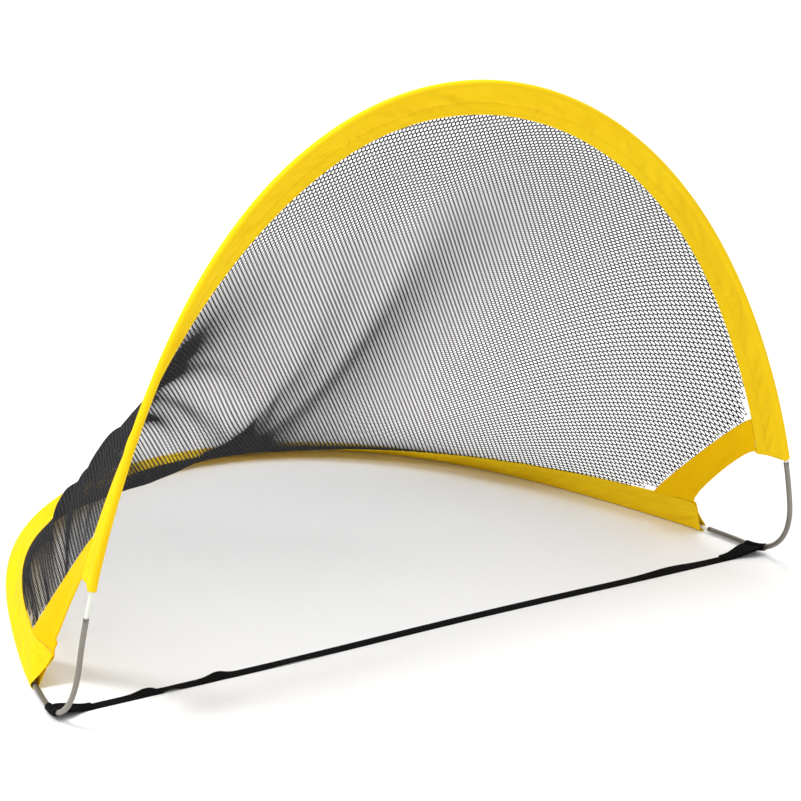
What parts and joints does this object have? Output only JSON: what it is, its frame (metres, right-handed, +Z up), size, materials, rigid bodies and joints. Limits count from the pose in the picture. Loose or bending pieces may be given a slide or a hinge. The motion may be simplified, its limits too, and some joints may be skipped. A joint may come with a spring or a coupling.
{
  "type": "pop up goal",
  "caption": "Folding garden football goal: an upright rod hoop and a ground hoop in cloth sleeves, joined by bent tubes, with a net between them and a strap across the mouth.",
  "frame": {"origin": "on the ground, under the middle of the goal's bounding box", "axes": "+X across the mouth to the right as seen from in front, +Y from the mouth towards the far end of the back hoop, +Z up"},
  "size_m": [0.9072, 0.6682, 0.6342],
  "materials": {
    "fibreglass": "off-white pultruded glass fibre, smooth",
    "steel_tube": "dull drawn steel",
    "yellow_polyester": "woven polyester, stitched and puckered",
    "black_net": "fine knitted polyester mesh",
    "black_webbing": "flat woven webbing"
  },
  "bodies": {
    "base": {"back_rod": "fibreglass", "back_sleeve": "yellow_polyester", "left_corner_tube": "steel_tube", "right_corner_tube": "steel_tube", "left_strap_loop": "black_webbing", "right_strap_loop": "black_webbing", "ground_strap": "black_webbing", "net": "black_net", "left_corner_binding": "yellow_polyester", "right_corner_binding": "yellow_polyester"},
    "front_hoop": {"front_rod": "fibreglass", "front_sleeve": "yellow_polyester"}
  },
  "joints": [
    {"name": "front_hoop_fold", "type": "hinge", "parent": "base", "child": "front_hoop", "pos_m": [0, -0.32666, 0.13346], "axis": [-1, 0, 0], "range_deg": [0, 85], "stiffness_Nm_per_rad": 4, "springref_deg": -5.73, "deforming": ["net", "left_corner_binding", "right_corner_binding", "front_rod"]}
  ]
}
